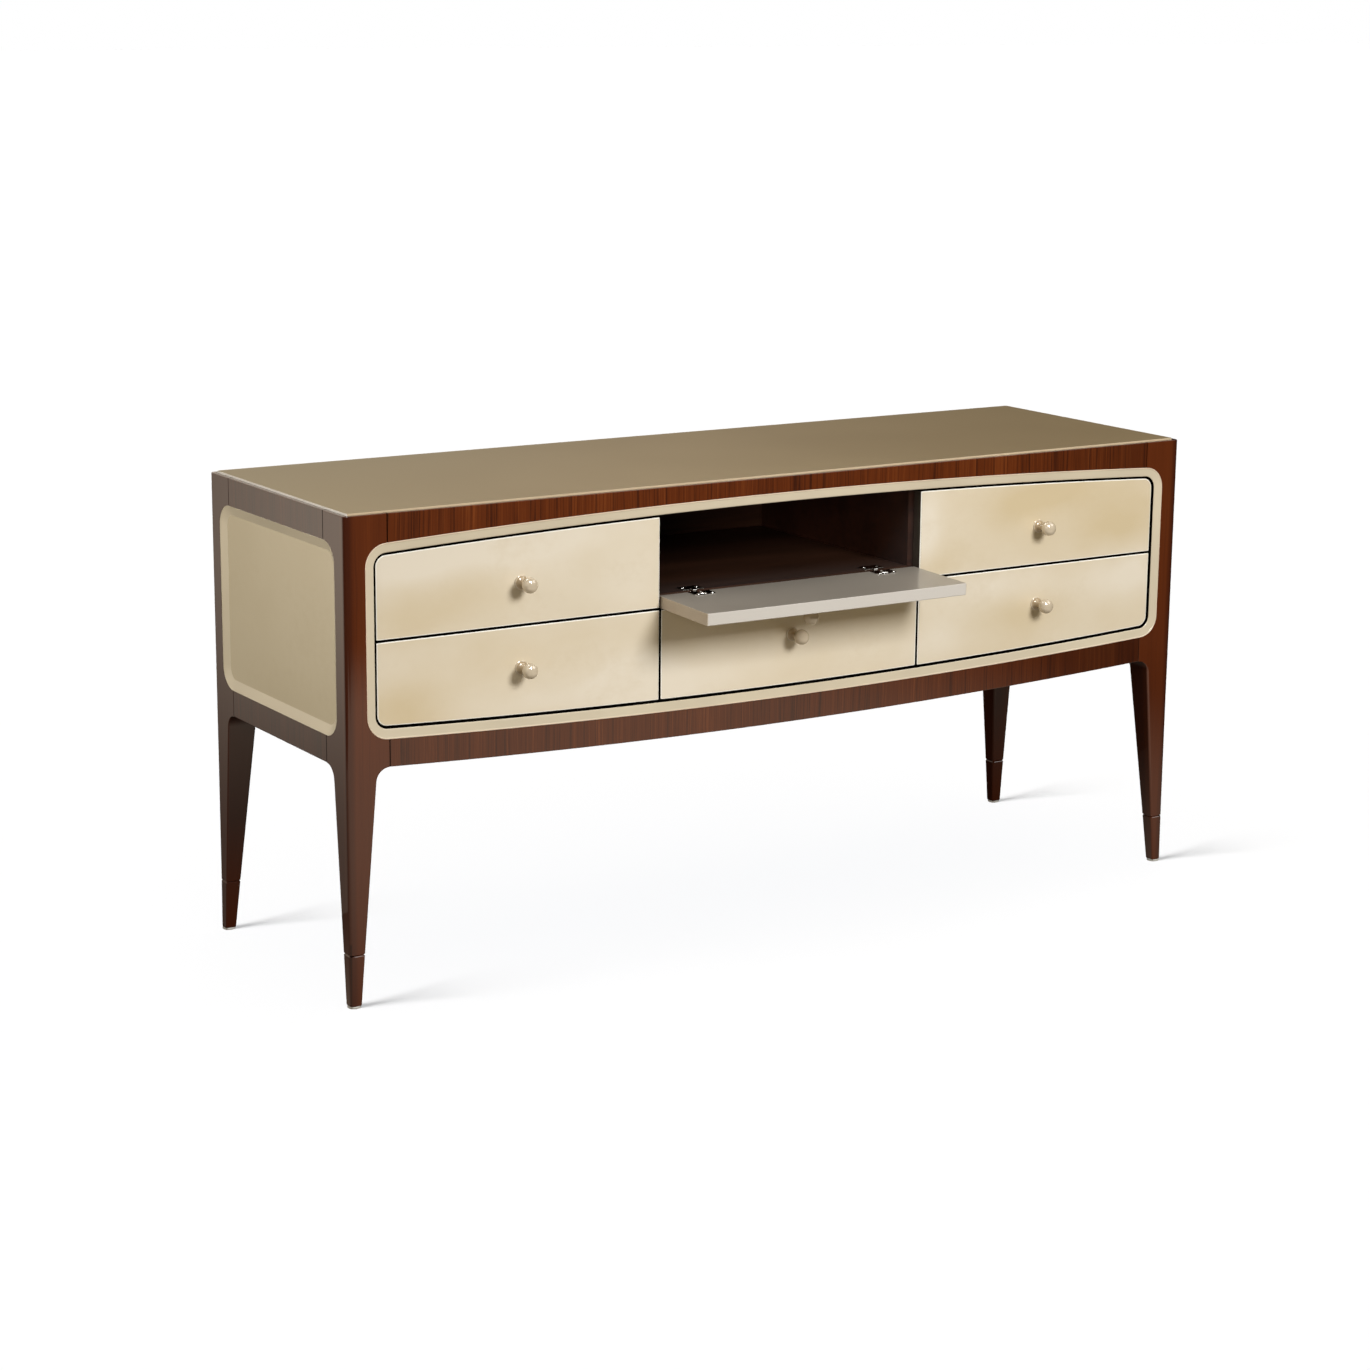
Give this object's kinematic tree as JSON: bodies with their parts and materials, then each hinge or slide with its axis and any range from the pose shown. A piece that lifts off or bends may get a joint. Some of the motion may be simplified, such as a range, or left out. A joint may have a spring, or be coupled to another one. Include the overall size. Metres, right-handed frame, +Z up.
{
  "type": "sideboard",
  "caption": "Long veneered sideboard on tapered legs with drawers, a drop-down flap over an open compartment and an inset painted-glass top.",
  "frame": {"origin": "on the floor, below the middle of the whole part with its flap open", "axes": "+X along the width to the right as seen from the front, +Y from the front to the back, +Z up"},
  "size_m": [1.803, 0.6908, 0.855],
  "materials": {
    "veneer": "high gloss",
    "dark_wood": "satin",
    "parchment": "high gloss",
    "side_parchment": "high gloss",
    "cream_lacquer": "high gloss",
    "flap_lacquer": "high gloss",
    "knob_lacquer": "high gloss",
    "painted_glass": "polished",
    "chrome": "polished",
    "steel": "satin",
    "glide_plastic": "matt"
  },
  "bodies": {
    "cabinet": {"glass_top": "painted_glass", "top_board": "dark_wood", "front_top_rail": "veneer", "front_bottom_rail": "veneer", "back_rails": "veneer", "side_rails": "veneer", "leg_front_left": "veneer", "leg_front_right": "veneer", "leg_rear_left": "veneer", "leg_rear_right": "veneer", "foot_glides": "glide_plastic", "side_panel_left": "side_parchment", "side_panel_right": "side_parchment", "back_panel": "dark_wood", "bottom_board": "dark_wood", "gables": "dark_wood", "dividers": "dark_wood", "compartment_floor": "dark_wood", "border_top": "cream_lacquer", "border_bottom": "cream_lacquer", "border_ends": "cream_lacquer", "cabinet_runners": "steel", "floor_hinges": "chrome", "floor_hinge_screws": "chrome"},
    "flap": {"flap": "flap_lacquer", "flap_knob": "knob_lacquer", "flap_hinges": "chrome", "hinge_pins": "steel", "flap_hinge_screws": "chrome"},
    "upper_left_drawer": {"upper_left_front": "parchment", "upper_left_sides": "dark_wood", "upper_left_back": "dark_wood", "upper_left_bottom": "dark_wood", "upper_left_knob": "knob_lacquer", "upper_left_runners": "steel"},
    "lower_left_drawer": {"lower_left_front": "parchment", "lower_left_sides": "dark_wood", "lower_left_back": "dark_wood", "lower_left_bottom": "dark_wood", "lower_left_knob": "knob_lacquer", "lower_left_runners": "steel"},
    "lower_centre_drawer": {"lower_centre_front": "parchment", "lower_centre_sides": "dark_wood", "lower_centre_back": "dark_wood", "lower_centre_bottom": "dark_wood", "lower_centre_knob": "knob_lacquer", "lower_centre_runners": "steel"},
    "upper_right_drawer": {"upper_right_front": "parchment", "upper_right_sides": "dark_wood", "upper_right_back": "dark_wood", "upper_right_bottom": "dark_wood", "upper_right_knob": "knob_lacquer", "upper_right_runners": "steel"},
    "lower_right_drawer": {"lower_right_front": "parchment", "lower_right_sides": "dark_wood", "lower_right_back": "dark_wood", "lower_right_bottom": "dark_wood", "lower_right_knob": "knob_lacquer", "lower_right_runners": "steel"}
  },
  "joints": [
    {"name": "flap_hinge", "type": "hinge", "parent": "cabinet", "child": "flap", "pos_m": [0, -0.18506, 0.64115], "axis": [-1, 0, 0], "range_deg": [0, 91.5]},
    {"name": "upper_left_slide", "type": "slide", "parent": "cabinet", "child": "upper_left_drawer", "axis": [0, -1, 0], "range_m": [0, 0.32]},
    {"name": "lower_left_slide", "type": "slide", "parent": "cabinet", "child": "lower_left_drawer", "axis": [0, -1, 0], "range_m": [0, 0.32]},
    {"name": "lower_centre_slide", "type": "slide", "parent": "cabinet", "child": "lower_centre_drawer", "axis": [0, -1, 0], "range_m": [0, 0.04]},
    {"name": "upper_right_slide", "type": "slide", "parent": "cabinet", "child": "upper_right_drawer", "axis": [0, -1, 0], "range_m": [0, 0.32]},
    {"name": "lower_right_slide", "type": "slide", "parent": "cabinet", "child": "lower_right_drawer", "axis": [0, -1, 0], "range_m": [0, 0.32]}
  ]
}
